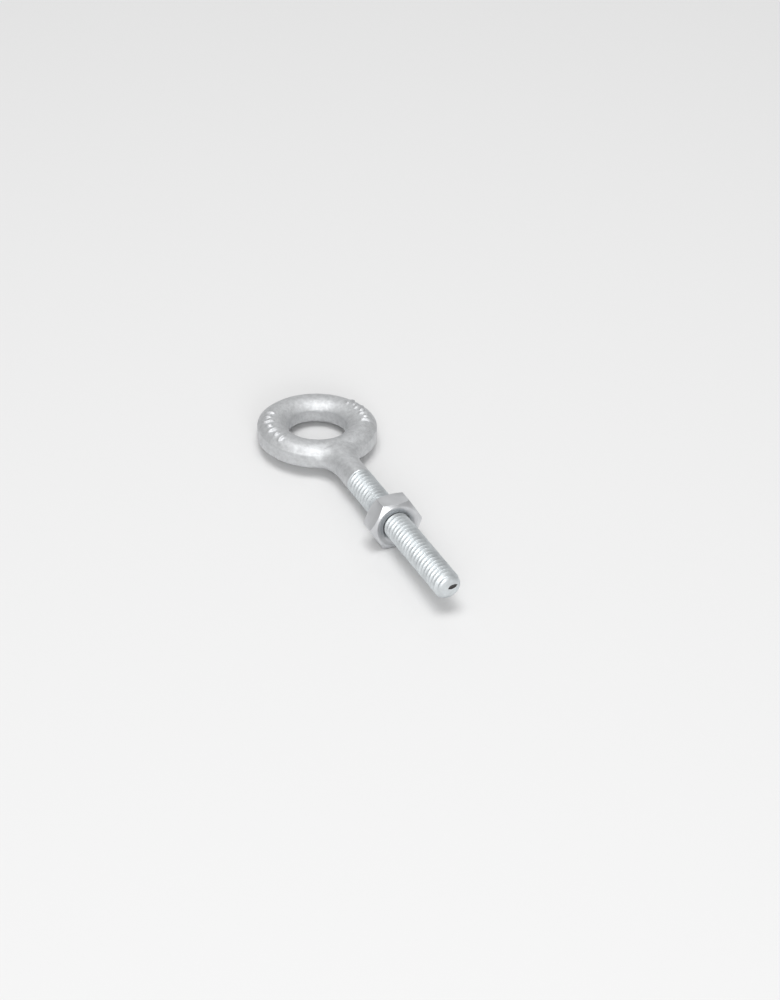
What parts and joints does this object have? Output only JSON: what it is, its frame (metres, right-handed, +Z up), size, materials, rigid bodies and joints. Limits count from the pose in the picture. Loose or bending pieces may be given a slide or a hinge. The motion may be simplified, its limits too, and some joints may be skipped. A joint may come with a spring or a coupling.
{
  "type": "eye bolt",
  "caption": "Forged lifting eye bolt with a ring eye, a flared neck, a threaded shank and a hexagon nut that screws along it.",
  "frame": {"origin": "centre of the eye", "axes": "+Z is up as the bolt lies at rest; +X is the way the shank points, tilted up 2.66 degrees; +Y is level, across the shank, and the eye leans 2.3 degrees down towards it"},
  "size_m": [0.0846, 0.0278, 0.0113],
  "materials": {
    "forged_steel": "matte galvanised forging, fine grain",
    "rolled_thread": "satin zinc-coated rolled thread",
    "nut_steel": "satin zinc-coated, smooth flats"
  },
  "bodies": {
    "eye_bolt": {"forged_eye": "forged_steel", "threaded_shank": "rolled_thread"},
    "nut_carrier": {"nut_washer_face": "nut_steel"},
    "nut": {"hex_nut": "nut_steel"}
  },
  "joints": [
    {"name": "nut_travel", "type": "slide", "parent": "eye_bolt", "child": "nut_carrier", "axis": [0.9989, 0, 0.0463], "range_m": [-0.0127, 0.0254]},
    {"name": "nut_spin", "type": "hinge", "parent": "nut_carrier", "child": "nut", "pos_m": [0, 0, 0], "axis": [0.9989, 0, 0.0463], "range_deg": [-3601, 7201]}
  ],
  "couplings": [
    {"joint": "nut_spin", "follows": "nut_travel", "rad_per_m": 4947.4}
  ]
}
